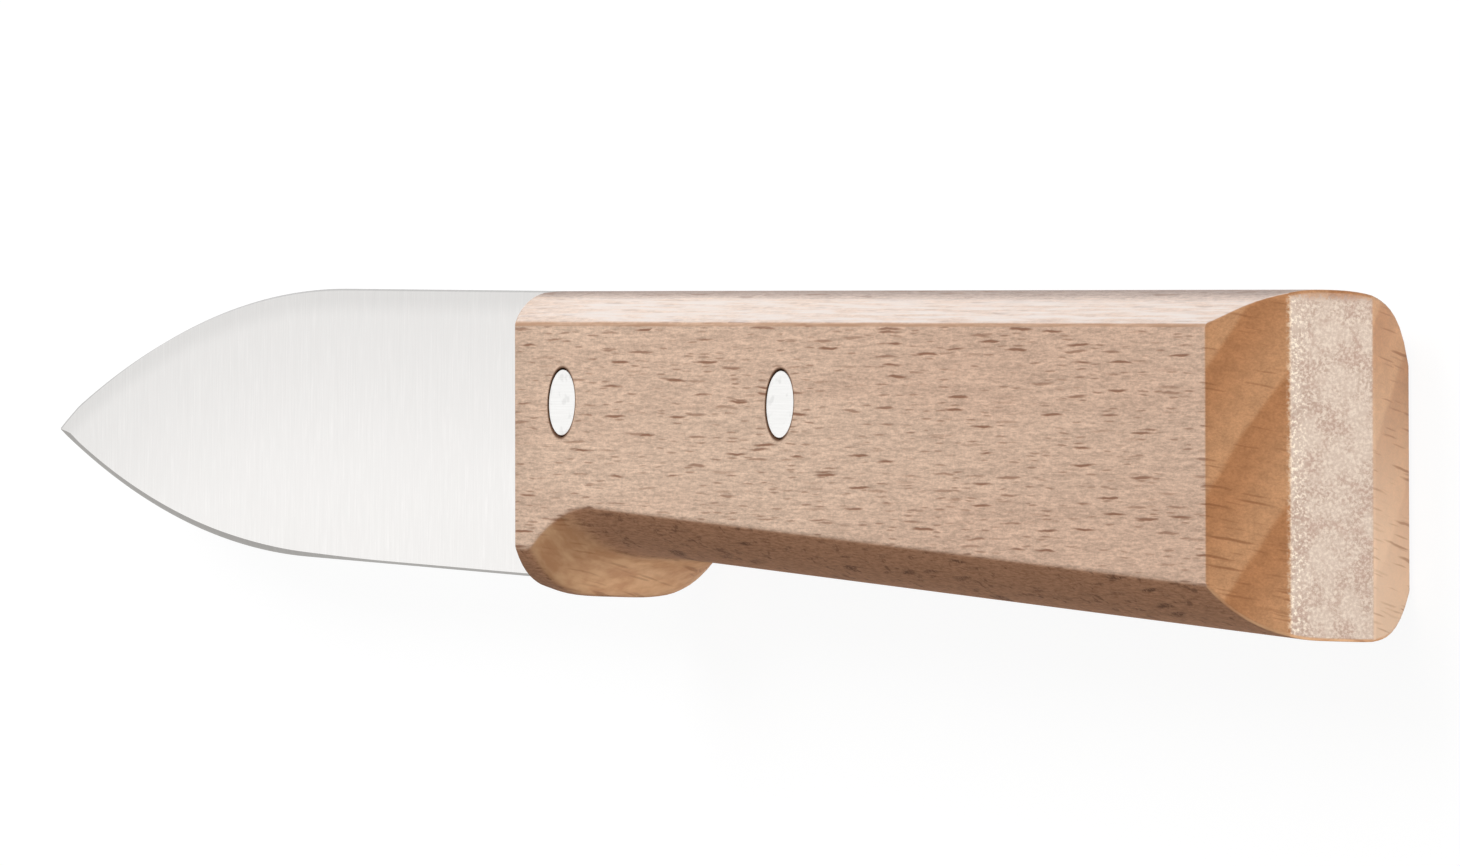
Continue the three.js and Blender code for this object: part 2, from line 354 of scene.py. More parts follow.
def cut_out(piece, cutter_mesh):
    """Subtract the cutters from a piece at once."""
    cutter = new_object(cutter_mesh, "cutter")
    cut = piece.modifiers.new("holes", "BOOLEAN")
    cut.operation = "DIFFERENCE"
    cut.solver = "EXACT"
    cut.use_self = True
    cut.object = cutter
    bpy.context.view_layer.update()
    drilled = piece.evaluated_get(bpy.context.evaluated_depsgraph_get())
    mesh = bpy.data.meshes.new_from_object(drilled)
    piece.modifiers.clear()
    piece.data = mesh
    bpy.data.objects.remove(cutter)
    print(piece.name, "faces with holes:", len(piece.data.polygons))


cutter_mesh = rivet_drills()
mortise_start = FRONT_FLAT_X - SPARE_LENGTH
mortise_middle = Vector((mortise_start + MORTISE_END, MORTISE_TOP + MORTISE_BOTTOM, 0)) / 2
mortise_size = (MORTISE_END - mortise_start, MORTISE_TOP - MORTISE_BOTTOM, MORTISE_THICKNESS)
bmesh.ops.create_cube(
    cutter_mesh, size=1.0, matrix=Matrix.LocRotScale(mortise_middle, None, mortise_size)
)

handle = new_object(handle_mesh, "beech_handle")
cut_out(handle, cutter_mesh)

# %% [markdown]
# ## How the grain is cut
#
# Beech looks different along the grain and across it: the sides show a pale face with short
# dark flecks, while the slanted ends drink more oil and turn orange brown. The far slanted end,
# which faces down, is painted paler as painted light. The underside is painted dark as painted
# shade, the guard's hollow is golden, the sawn butt stays raw, and the top's slopes are painted
# pale as a painted sheen, with painted shade on the ridge. Each vertex stores what its surface is,
# from the directions of the faces around it weighted by their areas, so that one finish can blend
# into the next on the eased edges.

# %% Surface attributes and shading
HOLE_ANGLE = math.radians(35)


def surface_kinds(facing, eased):
    """What a surface is that looks this way and is a bevel by this share.

    Each pair of numbers is where a kind begins and where it is complete.
    """
    endwise = abs(facing.x)
    oil = smoothstep(endwise, 0.15, 0.4)
    butt_edge = smoothstep(facing.x, 0.75, 0.9) * smoothstep(facing.z, 0.0, 0.2)
    return {
        "oil": oil,
        # where the far end's painted light goes
        "lit_far_end": oil * smoothstep(-facing.z, 0.0, 0.4),
        "under": smoothstep(-facing.y, 0.22, 0.5),
        "cove": smoothstep(-facing.y, 0.2, 0.42) * smoothstep(facing.x, 0.06, 0.22),
        "sawn": smoothstep(endwise, 0.93, 0.99),
        "upward": max(facing.y, 0.0) * (1 - oil),
        # where the painted edge highlight goes
        "lit_edge": smoothstep(eased, 0.5, 1.0) * butt_edge,
    }


def shade_by_angle(bm, piece, angle):
    """Put the bmesh back into its piece, smooth but for edges that turn by more than the angle."""
    for face in bm.faces:
        face.smooth = True
    for line in bm.edges:
        line.smooth = line.calc_face_angle(0) < angle
    open_edges = sum(not line.is_manifold for line in bm.edges)
    bm.to_mesh(piece.data)
    bm.free()
    even = piece.modifiers.new("even shading", "WEIGHTED_NORMAL")
    even.keep_sharp = True
    print(f"open edges on {piece.name}: {open_edges}")


grain_mesh = bmesh.new()
grain_mesh.from_mesh(handle.data)
layers = {name: grain_mesh.verts.layers.float.new(name) for name in surface_kinds(Vector(), 0)}
eased_layer = grain_mesh.verts.layers.float["eased"]
for vert in grain_mesh.verts:
    facing = sum((face.normal * face.calc_area() for face in vert.link_faces), Vector())
    for name, value in surface_kinds(facing.normalized(), vert[eased_layer]).items():
        vert[layers[name]] = value
shade_by_angle(grain_mesh, handle, HOLE_ANGLE)
stand_for(handle, "handle")

# %% [markdown]
# ## The blade's outline
#
# The blade is stamped from sheet steel. Its spine and its edge each run straight from the heel
# and then turn into one circular arc, and the two arcs meet at a point near the middle of the
# blade's height. A circle that leaves a line smoothly and ends at a known point is fixed by
# these two facts, so a short function gives either outline.

# %% Spine and edge curves
HEEL_X = -4.35
POINT_X = -90.2
BLADE_HEIGHT = 17.55
SPINE_TURN_X = -41.2
EDGE_TURN_X = -47.7
SPINE_RISE = 0.18
EDGE_RISE = 1.05
POINT_TOP = -8.65
POINT_BOTTOM = -8.75


def outline(x, heel_y, rise, turn_x, end_y):
    """Height of a straight run that turns into an arc and ends at the point."""
    turn = Vector((turn_x, heel_y + rise))
    run = turn - Vector((HEEL_X, heel_y))
    if x >= turn_x:
        return heel_y + rise * (x - HEEL_X) / run.x
    chord = Vector((POINT_X, end_y)) - turn
    normal = Vector((run.y, -run.x)).normalized()
    radius = chord.length_squared / (2 * chord.dot(normal))
    centre = turn + normal * radius
    height = math.sqrt(radius * radius - (x - centre.x) ** 2)
    return centre.y - math.copysign(height, radius)


def spine(x):
    return outline(x, 0.0, SPINE_RISE, SPINE_TURN_X, POINT_TOP)


def edge(x):
    return outline(x, -BLADE_HEIGHT, EDGE_RISE, EDGE_TURN_X, POINT_BOTTOM)


print("blade height at the heel:", round(spine(HEEL_X) - edge(HEEL_X), 2))
print("and at the point:", round(spine(POINT_X) - edge(POINT_X), 2))

# %% [markdown]
# ## Grinding the blade
#
# The sheet is ground thinner from spine to edge and also towards the point, and a last narrow
# bevel makes the cutting edge. A short stretch at the heel keeps its full thickness. A grid gives
# one side: its rows are laid between spine and bevel line, and each vertex is lifted to half the
# local thickness. The first row stays a little lower, which breaks the spine's sharp corners as a
# belt does. Mirroring and bridging the two rims close it into one solid. The faces of the cutting
# bevel and each vertex's depth below the spine are stored for the finish.

# %% One side, mirrored and bridged
BLADE_THICKNESS = 1.3
DISTAL_TAPER = 0.5
GRIND_THICKNESS = 0.4
EDGE_THICKNESS = 0.06
HEEL_BEVEL_WIDTH = 0.16
POINT_BEVEL_WIDTH = 0.4
BEVEL_WIDENS = (0.35, 0.65)
POINT_SPINE_SHARE = 0.25
SPINE_BEVEL = 0.16
SPINE_BEVEL_SHARE = 0.35
POINT_BEVEL_SHARE = 0.3
RICASSO_BOTTOM = -12.5
ROW_TOLERANCE = 0.01
RICASSO_FULL_X = -6.35
RICASSO_END_X = -12.35
TANG_TOP = -2.5
TANG_BOTTOM = -11.3
BLADE_STATIONS = 140

bevel_at_heel = -BLADE_HEIGHT + HEEL_BEVEL_WIDTH
row_depths = (
    0, -SPINE_BEVEL, -1.2, TANG_TOP, -4.7, -6.9, -9.1, TANG_BOTTOM, RICASSO_BOTTOM, -14.1, -15.7,
    bevel_at_heel,
)
row_shares = [depth / bevel_at_heel for depth in row_depths]


def heel_raked(x, y):
    """Lean the heel like the front of the handle, so that the seam between them stays even."""
    share = smoothstep(x, RICASSO_END_X, RICASSO_FULL_X)
    return x - share * END_RAKE * (y + RAKE_MIDDLE)


def blade_point(along, row):
    """Place on one side of the blade: share of the length, and row from spine to edge."""
    x = lerp(HEEL_X, POINT_X, along)
    height = spine(x) - edge(x)
    bevel_width = lerp(HEEL_BEVEL_WIDTH, POINT_BEVEL_WIDTH, smoothstep(along, *BEVEL_WIDENS))
    bevel_y = edge(x) + min(bevel_width, POINT_BEVEL_SHARE * height)
    spine_half = min(BLADE_THICKNESS * (1 - DISTAL_TAPER * along**2), POINT_SPINE_SHARE * height) / 2
    grind_half = min(GRIND_THICKNESS, spine_half) / 2
    if row == len(row_shares):
        return Vector((heel_raked(x, edge(x)), edge(x), min(EDGE_THICKNESS, grind_half) / 2))
    y = lerp(spine(x), bevel_y, row_shares[row])
    ground = lerp(spine_half, grind_half, row_shares[row])
    full = smoothstep(x, RICASSO_END_X, RICASSO_FULL_X) * float(y >= RICASSO_BOTTOM - ROW_TOLERANCE)
    broken = min(SPINE_BEVEL, SPINE_BEVEL_SHARE * spine_half) if row == 0 else 0.0
    return Vector((heel_raked(x, y), y, lerp(ground, spine_half, full) - broken))


blade_mesh = bmesh.new()
bmesh.ops.create_grid(blade_mesh, x_segments=BLADE_STATIONS, y_segments=len(row_shares), size=1.0)
bevel_layer = blade_mesh.faces.layers.float.new("bevel")
depth_layer = blade_mesh.verts.layers.float.new("below_spine")
last_row_y = 2 / len(row_shares) - 1
for face in blade_mesh.faces:
    face[bevel_layer] = float(face.calc_center_median().y < last_row_y)
for vert in blade_mesh.verts:
    along = (1 - vert.co.x) / 2
    row = round((1 - vert.co.y) / 2 * len(row_shares))
    vert.co = blade_point(along, row)
    vert[depth_layer] = spine(lerp(HEEL_X, POINT_X, along)) - vert.co.y
bmesh.ops.mirror(blade_mesh, geom=everything(blade_mesh), matrix=Matrix(), merge_dist=0.0, axis="Z")
open_rims = [line for line in blade_mesh.edges if line.is_boundary]
bmesh.ops.bridge_loops(blade_mesh, edges=open_rims)
bmesh.ops.recalc_face_normals(blade_mesh, faces=blade_mesh.faces)
print("blade faces:", len(blade_mesh.faces), "rim edges bridged:", len(open_rims))

# %% [markdown]
# ## The tang
#
# The tang is the narrow tongue that the rivets hold. It grows out of the heel by extruding the
# heel's middle faces back into the handle. The faces it grew from would stay inside as a wall, so
# they are deleted. The drills that bored the handle then bore the tang for the rivets.

# %% Extrude and bore the tang
TANG_END = 49.6
TANG_THICKNESS = 1.22
FACING_BACK = 0.9

heel_faces = [
    face for face in blade_mesh.faces
    if face.normal.x > FACING_BACK and TANG_BOTTOM < face.calc_center_median().y < TANG_TOP
]
tongue = bmesh.ops.extrude_face_region(blade_mesh, geom=heel_faces)
bmesh.ops.delete(blade_mesh, geom=heel_faces, context="FACES_ONLY")
tongue_verts = [item for item in tongue["geom"] if isinstance(item, bmesh.types.BMVert)]
for vert in tongue_verts:
    vert.co.x = TANG_END
bmesh.ops.scale(blade_mesh, verts=tongue_verts, vec=(1, 1, TANG_THICKNESS / BLADE_THICKNESS))

blade = new_object(blade_mesh, "satin_blade")
cut_out(blade, rivet_drills())
bored_mesh = bmesh.new()
bored_mesh.from_mesh(blade.data)
shade_by_angle(bored_mesh, blade, SHARP_ANGLE)
stand_for(blade, "blade")

# %% [markdown]
# ## Rivets
#
# Each rivet is a rod of soft aluminium, hammered into its hole and then ground flush with the
# wood. A cone with two equal ends is a rod. Its rims are rounded a little, and an inset on each
# end face is pressed in by two hundredths of a millimetre, because soft metal wears faster under
# a belt than the wood around it.

# %% Rods with ground ends
RIM_ROUNDING = 0.1
END_BORDER = 0.45
END_HOLLOW = 0.02
RIM_ANGLE = math.radians(60)
FACING_END = 0.99

rivets = []
for node, (x, y) in RIVET_PLACES.items():
    rod = bmesh.new()
    bmesh.ops.create_cone(
        rod, cap_ends=True, segments=ROUND_SEGMENTS, depth=2 * HALF_THICKNESS,
        radius1=RIVET_DIAMETER / 2, radius2=RIVET_DIAMETER / 2, matrix=Matrix.Translation((x, y, 0)),
    )
    rims = [line for line in rod.edges if line.calc_face_angle(0) > RIM_ANGLE]
    bmesh.ops.bevel(
        rod, geom=rims, offset=RIM_ROUNDING, offset_type="OFFSET", segments=3, profile=0.5,
        affect="EDGES", material=-1, clamp_overlap=True,
    )
    ends = [face for face in rod.faces if abs(face.normal.z) > FACING_END]
    bmesh.ops.inset_individual(rod, faces=ends, thickness=END_BORDER, depth=-END_HOLLOW)
    for face in rod.faces:
        face.smooth = True
    rivet = new_object(rod, "ground_" + node)
    stand_for(rivet, node)
    rivets.append(rivet)

# %% [markdown]
# ## A short way to wire nodes
#
# Every finish below is a small network of nodes. One helper adds a node, sets its options, and
# fills its inputs: a socket is linked and anything else becomes the input's value. That keeps
# each finish readable as a list of steps.

# %% Node helpers
def set_input(tree, socket, value):
    if isinstance(value, bpy.types.NodeSocket):
        tree.links.new(value, socket)
    else:
        socket.default_value = value


def add_node(tree, kind, inputs=None, **options):
    node = tree.nodes.new("ShaderNode" + kind)
    for name, value in options.items():
        setattr(node, name, value)
    for name, value in (inputs or {}).items():
        set_input(tree, node.inputs[name], value)
    return node


def new_material(name):
    material = bpy.data.materials.new(name)
    material.use_nodes = True
    material.node_tree.nodes.clear()
    return material, material.node_tree


def finish_material(tree, shader):
    output = add_node(tree, "OutputMaterial")
    tree.links.new(shader.outputs[0], output.inputs["Surface"])
    print("finish nodes:", len(tree.nodes))


# %% [markdown]
# ### Numbers and colours in nodes
#
# Patterns are numbers, and a finish turns them into shares and shades. A smooth ramp does most of
# that work, so that no border in the wood is hard. Colours are written as they are read off a
# screen and made linear here, which is the form that nodes use.

# %% Number and colour helpers
def ramp(tree, value, low, high, start=0.0, end=1.0):
    """Map low..high of a value smoothly to start..end."""
    settings = {"Value": value, "From Min": low, "From Max": high, "To Min": start, "To Max": end}
    return add_node(tree, "MapRange", settings, interpolation_type="SMOOTHSTEP").outputs["Result"]


def math_node(tree, operation, first, second):
    return add_node(tree, "Math", {0: first, 1: second}, operation=operation).outputs[0]


def multiply(tree, first, *others):
    for other in others:
        first = math_node(tree, "MULTIPLY", first, other)
    return first


def vector_node(tree, operation, *inputs):
    node = add_node(tree, "VectorMath", dict(enumerate(inputs)), operation=operation)
    return node.outputs["Value" if operation == "LENGTH" else "Vector"]


def srgb(red, green, blue):
    """A colour as read off a screen, 0 to 255, in linear form."""
    def linear(value):
        value /= 255
        return value / 12.92 if value <= 0.04045 else ((value + 0.055) / 1.055) ** 2.4
    return (linear(red), linear(green), linear(blue), 1.0)


def mix_colour(tree, share, first, second, blend="MIX"):
    node = add_node(tree, "Mix", data_type="RGBA", blend_type=blend)
    colours = [socket for socket in node.inputs if socket.type == "RGBA"]
    for socket, value in zip([node.inputs["Factor"], *colours], (share, first, second)):
        set_input(tree, socket, value)
    return next(socket for socket in node.outputs if socket.type == "RGBA")


def shaded(tree, colour, shade):
    return mix_colour(tree, 1.0, colour, shade, "MULTIPLY")


# %% [markdown]
# ### Places and patterns
#
# All patterns read Object coordinates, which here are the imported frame's metres, so a pattern
# stays with its piece. Lengths are given in millimetres along, up and across the handle. A share
# that belongs to the surface itself, such as end grain, is read from an attribute of the mesh.

# %% Pattern helpers
NOISE_LOW = 0.3
NOISE_HIGH = 0.7


def object_place(tree):
    return add_node(tree, "TexCoord").outputs["Object"]


def object_axis(tree, axis):
    return add_node(tree, "SeparateXYZ", {"Vector": object_place(tree)}).outputs[axis]


def ramp_along(tree, axis, first, last, start=0.0, end=1.0):
    """Map a stretch of one axis, in knife millimetres, smoothly to start..end."""
    zero = knife_zero["XYZ".index(axis)]
    return ramp(tree, object_axis(tree, axis), zero + first * MM, zero + last * MM, start, end)


def stretched(tree, lengths, turn=0.0):
    """Coordinates in steps of these lengths, turned about the handle's axis."""
    place = object_place(tree)
    if turn:
        place = add_node(tree, "Mapping", {"Vector": place, "Rotation": (turn, 0, 0)}).outputs["Vector"]
    scale = [1 / (length * MM) for length in lengths]
    return add_node(tree, "Mapping", {"Vector": place, "Scale": scale}).outputs["Vector"]


def noise(tree, lengths, detail=2.0, roughness=0.5):
    vector = stretched(tree, lengths)
    settings = {"Vector": vector, "Scale": 1.0, "Detail": detail, "Roughness": roughness}
    return add_node(tree, "TexNoise", settings).outputs["Fac"]


def over_noise(tree, pattern, start, end):
    """Map the range that a noise mostly keeps to smoothly to start..end."""
    return ramp(tree, pattern, NOISE_LOW, NOISE_HIGH, start, end)


def stored(tree, name):
    return add_node(tree, "Attribute", attribute_name=name).outputs["Fac"]


# %% [markdown]
# ## Beech
#
# Beech is a pinkish pale wood. Its rays, thin sheets that run from bark to heart, are what makes
# it easy to know: cut along the grain they are short dark flecks, and cut across it fine lines.
# One solid pattern of long flat flecks gives both, because the surface simply cuts through it.
# A Voronoi texture scatters the flecks, and the distance to each one's middle is stretched to
# its length, thickness and depth. The whole pattern is turned a little about the handle's axis.

# %% Rays
RAY_TILT = math.radians(12)
LONG_RAY_SPACING = (4.6, 0.48, 4.4)
LONG_RAY_REACH = (0.46, 0.24, 0.42)
SHORT_RAY_SPACING = (2.2, 0.29, 3)
SHORT_RAY_REACH = (0.46, 0.26, 0.46)
SHORT_RAY_SHARE = 0.65
WANDER_LENGTHS = (2.2, 0.9, 2.2)
WANDER_SHIFT = (0.45, 0.6, 0.3)
FLECK_CORE = 0.4
FAINT_LUCK = 0.25
FULL_LUCK = 0.8


def ray_flecks(tree, spacing, reach):
    """Flecks in cells of this spacing; reach is each half size as a share of the cell."""
    wander_place = {"Vector": stretched(tree, WANDER_LENGTHS), "Scale": 1.0}
    wander = add_node(tree, "TexNoise", wander_place).outputs["Color"]
    shift = vector_node(tree, "MULTIPLY", wander, WANDER_SHIFT)
    place = vector_node(tree, "ADD", stretched(tree, spacing, RAY_TILT), shift)
    cells = add_node(tree, "TexVoronoi", {"Vector": place, "Scale": 1.0, "Randomness": 1.0})
    offset = vector_node(tree, "SUBTRACT", place, cells.outputs["Position"])
    scaled = vector_node(tree, "MULTIPLY", offset, tuple(1 / value for value in reach))
    fleck = ramp(tree, vector_node(tree, "LENGTH", scaled), 1.0, FLECK_CORE)
    luck = add_node(tree, "SeparateColor", {"Color": cells.outputs["Color"]}).outputs[0]
    return multiply(tree, fleck, ramp(tree, luck, FAINT_LUCK, FULL_LUCK))


beech, tree = new_material("beech")
long_rays = ray_flecks(tree, LONG_RAY_SPACING, LONG_RAY_REACH)
short_rays = ray_flecks(tree, SHORT_RAY_SPACING, SHORT_RAY_REACH)
rays = math_node(tree, "MAXIMUM", long_rays, multiply(tree, short_rays, SHORT_RAY_SHARE))
print("nodes for the rays:", len(tree.nodes))

# %% [markdown]
# ### Fibres along the grain
#
# Between the rays the face is a fine mixture of lighter and darker fibres. Four sizes of noise
# make it: slow drift over centimetres, streaks, a speckle that is just visible to the eye, and
# pores. The face is a little paler towards the front, and it is painted darker at the very front
# as painted shade where the front edge rounds off.

# %% Long grain
FACE_AT_BUTT = srgb(217, 184, 161)
FACE_AT_FRONT = srgb(223, 193, 170)
FACE_RAY = srgb(144, 104, 82)
FACE_RAY_SHARE = 0.9
TONE_LENGTH = 105
DRIFT_SHARE = 0.3

drift = noise(tree, (45, 5, 5))
streaks = noise(tree, (7, 0.28, 0.28), detail=3, roughness=0.6)
speckle = noise(tree, (0.9, 0.13, 0.13), detail=4, roughness=0.7)
pores = noise(tree, (0.3, 0.2, 0.2), detail=3, roughness=0.7)
to_front = ramp_along(tree, "X", TONE_LENGTH, 0)
drifted = ramp(tree, drift, 0.35, 0.65, -DRIFT_SHARE, DRIFT_SHARE)
face_tone = mix_colour(tree, math_node(tree, "ADD", to_front, drifted), FACE_AT_BUTT, FACE_AT_FRONT)
# Painted shade: the very front of the face is darker.
front_edge_shade = ramp_along(tree, "X", -2, 8, 0.9, 1.0)
shade = multiply(
    tree, over_noise(tree, streaks, 0.9, 1.07), over_noise(tree, speckle, 0.77, 1.17),
    over_noise(tree, pores, 0.93, 1.07), front_edge_shade,
)
face_colour = shaded(tree, face_tone, shade)
face_colour = mix_colour(tree, multiply(tree, rays, FACE_RAY_SHARE), face_colour, FACE_RAY)
print("nodes with the faces:", len(tree.nodes))

# %% [markdown]
# ### Across the grain
#
# The slanted ends show growth rings as steep bands, with the rays as thin dark lines across
# them. A wave texture with a saw profile gives each ring a slow change to dark late wood and a
# quick change back.

# %% End grain
RING_SPACING = 3.4
RING_TILT = math.radians(28)
EARLY_WOOD = srgb(182, 136, 99)
LATE_WOOD = srgb(165, 115, 78)
END_RAY = srgb(126, 82, 54)
END_RAY_SHARE = 0.65

rings = add_node(
    tree, "TexWave",
    {
        "Vector": stretched(tree, [RING_SPACING] * 3, RING_TILT), "Scale": math.pi / 10,
        "Distortion": 2.2, "Detail": 3.0, "Detail Scale": 0.8,
    },
    bands_direction="Z", wave_profile="SAW",
).outputs["Fac"]
mottle = noise(tree, (1.2, 0.7, 0.7), detail=3, roughness=0.6)
late_share = multiply(tree, ramp(tree, rings, 0.0, 0.85), ramp(tree, rings, 1.0, 0.9))
end_tone = mix_colour(tree, late_share, EARLY_WOOD, LATE_WOOD)
end_shade = multiply(tree, over_noise(tree, speckle, 0.86, 1.1), over_noise(tree, mottle, 0.9, 1.08))
end_colour = shaded(tree, end_tone, end_shade)
end_colour = mix_colour(tree, multiply(tree, rays, END_RAY_SHARE), end_colour, END_RAY)
print("nodes with the end grain:", len(tree.nodes))

# %% [markdown]
# ### The sawn butt
#
# The butt was sawn and never oiled. Its torn fibres scatter light, so it is a pale mixture with
# brown pores and soft blotches, and splinters along the edge that faces up carry painted glints.

# %% Torn fibres
FIBRE = srgb(209, 192, 177)
TORN_FIBRE = srgb(172, 148, 133)
BLOTCH = srgb(180, 153, 139)
SPLINTER_GLINT = srgb(243, 230, 210)

patches = noise(tree, (2, 2.2, 1.8), detail=3, roughness=0.6)
torn_share = multiply(tree, ramp(tree, pores, 0.64, 0.36), ramp(tree, patches, 0.4, 0.62, 0.45, 1.0))
sawn_colour = mix_colour(tree, torn_share, FIBRE, TORN_FIBRE)
blotch_share = ramp(tree, math_node(tree, "ADD", mottle, patches), 0.95, 1.25, 0.0, 0.45)
sawn_colour = mix_colour(tree, blotch_share, sawn_colour, BLOTCH)
near_edge = ramp_along(tree, "Z", 1.0, 2.6, 0.15, 0.9)
# Painted glints: bright splinters on the near edge of the butt.
splinter_glint_share = multiply(tree, near_edge, ramp(tree, pores, 0.52, 0.64))
sawn_colour = mix_colour(tree, splinter_glint_share, sawn_colour, SPLINTER_GLINT)
print("nodes with the butt:", len(tree.nodes))

# %% [markdown]
# ### Underside and cove
#
# The underside is painted dark and brown as painted shade, with dirt in the rays and pores. The
# guard's hollow cuts the fibres at a slant and shows a golden, patchy face, painted darker towards
# the near edge as painted shade.

# %% Underside shade and cove
UNDER_SHADE_DARK = srgb(152, 108, 79)
UNDER_SHADE_LIGHT = srgb(188, 141, 110)
DIRT = srgb(92, 62, 44)
COVE_DARK = srgb(198, 146, 106)
COVE_LIGHT = srgb(222, 175, 133)
COVE_RAY = srgb(150, 98, 62)
COVE_RAY_SHARE = 0.6

# Painted shade: the underside's dark tone stands in for the shade below the handle.
under_shade_tone = mix_colour(tree, over_noise(tree, speckle, 0.0, 1.0), UNDER_SHADE_DARK, UNDER_SHADE_LIGHT)
dirty_rays = multiply(tree, rays, ramp(tree, pores, 0.4, 0.55, 0.25, 0.85))
dirt_share = math_node(tree, "MAXIMUM", dirty_rays, ramp(tree, mottle, 0.57, 0.7, 0.0, 0.6))
under_shade_and_dirt = mix_colour(tree, dirt_share, under_shade_tone, DIRT)
cove_tone = mix_colour(tree, ramp(tree, patches, 0.35, 0.65), COVE_DARK, COVE_LIGHT)
# Painted shade: the cove darkens towards its near edge.
cove_edge_shade = ramp_along(tree, "Z", 5.5, 0.5, 0.81, 1.02)
cove_colour = shaded(tree, cove_tone, cove_edge_shade)
cove_colour = mix_colour(tree, multiply(tree, rays, COVE_RAY_SHARE), cove_colour, COVE_RAY)
print("nodes with the underside:", len(tree.nodes))

# %% [markdown]
# ### Painted sheen and shade on the top
#
# The top's slopes are painted pale as a painted sheen of the light from above. Along the ridge a
# darker tone is painted shade, and a tan line of painted shade runs in the crease where the slope
# meets the side. All three follow the stored upward share of the surface: 1 on the ridge, less down
# the slopes, 0 on the sides.

# %% Slopes, ridge and crease
TOP_SHEEN = srgb(220, 210, 204)
RIDGE_SHADE_LIGHT = srgb(196, 178, 168)
RIDGE_SHADE_DARK = srgb(166, 150, 142)
RIDGE_SHADE_RAY = srgb(138, 112, 98)
RIDGE_SHADE_RAY_SHARE = 0.5
CREASE_SHADE = srgb(184, 147, 121)
RIDGE_WANDER = 0.015

upward = stored(tree, "upward")
# Painted sheen: the top's slopes are mixed towards a pale tone.
top_sheen_share = multiply(
    tree, ramp(tree, upward, 0.4, 0.65), ramp(tree, streaks, 0.35, 0.65, 0.5, 1.0),
    ramp_along(tree, "X", -4, 9, 0.6, 1.0),
)
wood_colour = mix_colour(tree, top_sheen_share, face_colour, TOP_SHEEN)
# Painted shade: the ridge gets a darker tone.
ridge_shade_tone = mix_colour(tree, ramp(tree, upward, 0.93, 0.992), RIDGE_SHADE_LIGHT, RIDGE_SHADE_DARK)
ridge_shade_colour = shaded(tree, ridge_shade_tone, shade)
ridge_shade_colour = mix_colour(tree, multiply(tree, rays, RIDGE_SHADE_RAY_SHARE), ridge_shade_colour, RIDGE_SHADE_RAY)
ridge = math_node(tree, "ADD", upward, over_noise(tree, streaks, -RIDGE_WANDER, RIDGE_WANDER))
wood_colour = mix_colour(tree, ramp(tree, ridge, 0.905, 0.945), wood_colour, ridge_shade_colour)
# Painted shade: a tan line in the crease between slope and side.
crease_shade_share = multiply(
    tree, ramp(tree, upward, 0.0, 0.16), ramp(tree, upward, 0.6, 0.4),
    ramp(tree, streaks, 0.35, 0.65, 1.0, 0.6),
)
wood_colour = mix_colour(tree, crease_shade_share, wood_colour, CREASE_SHADE)
print("nodes with the top:", len(tree.nodes))

# %% [markdown]
# ### Laying the finishes over each other
#
# Each finish is mixed over the last one by its stored share. The ends that face down are painted
# paler as painted light, most of all low down. The butt's pale fibres thin out below the top in a
# ragged fringe, and the edge between butt and upper slanted end is painted pale as a painted
# highlight.

# %% Ends, underside and butt
# The pale tones below are painted light: on the ends that face down, and on the eased butt edge.
LIT_FAR_END = srgb(246, 220, 194)
LIT_FAR_END_RAY = srgb(150, 106, 76)
LIT_FAR_END_RAY_SHARE = 0.55
EDGE_HIGHLIGHT = srgb(228, 206, 180)
FRINGE = 0.2
RIM_START = -0.3
RIM_END = -0.6

oil = stored(tree, "oil")
lit_far_end = stored(tree, "lit_far_end")
sawn = stored(tree, "sawn")
wood_colour = mix_colour(tree, oil, wood_colour, end_colour)
# Painted light: the ends that face down turn paler, most of all low down.
lit_far_end_share = multiply(tree, lit_far_end, ramp_along(tree, "Y", 0, -18, 0.14, 0.6))
wood_colour = mix_colour(tree, lit_far_end_share, wood_colour, LIT_FAR_END)
wood_colour = mix_colour(tree, multiply(tree, rays, lit_far_end, LIT_FAR_END_RAY_SHARE), wood_colour, LIT_FAR_END_RAY)
wood_colour = mix_colour(tree, stored(tree, "under"), wood_colour, under_shade_and_dirt)
wood_colour = mix_colour(tree, stored(tree, "cove"), wood_colour, cove_colour)
fringe = over_noise(tree, pores, -FRINGE * MM, FRINGE * MM)
ragged = math_node(tree, "ADD", object_axis(tree, "Y"), fringe)
rim_start, rim_end = (knife_zero.y + place * MM for place in (RIM_START, RIM_END))
below_rim = ramp(tree, ragged, rim_start, rim_end, 0.35, 1.0)
wood_colour = mix_colour(tree, multiply(tree, sawn, below_rim), wood_colour, sawn_colour)
# Painted highlight: the eased edge between butt and near slanted end turns pale.
edge_highlight_share = multiply(tree, stored(tree, "lit_edge"), ramp(tree, pores, 0.4, 0.65, 0.0, 0.6))
wood_colour = mix_colour(tree, edge_highlight_share, wood_colour, EDGE_HIGHLIGHT)
print("nodes with the ends:", len(tree.nodes))

# %% [markdown]
# ### The wood's shader
#
# A thin dark ring around each rivet is painted shade, where the gap round the rivet falls in
# shadow. The distance from the rivet's axis gives it. Oiled ends are a little glossier than the
# rest, and a faint bump lets the fibres catch the light.

# %% Beech shader
RING_SHADE = srgb(108, 78, 60)
RING_SHADE_WIDTH = 0.2
END_ROUGHNESS = 0.5
FACE_ROUGHNESS = 0.75
ROUGHNESS_SPREAD = 0.06


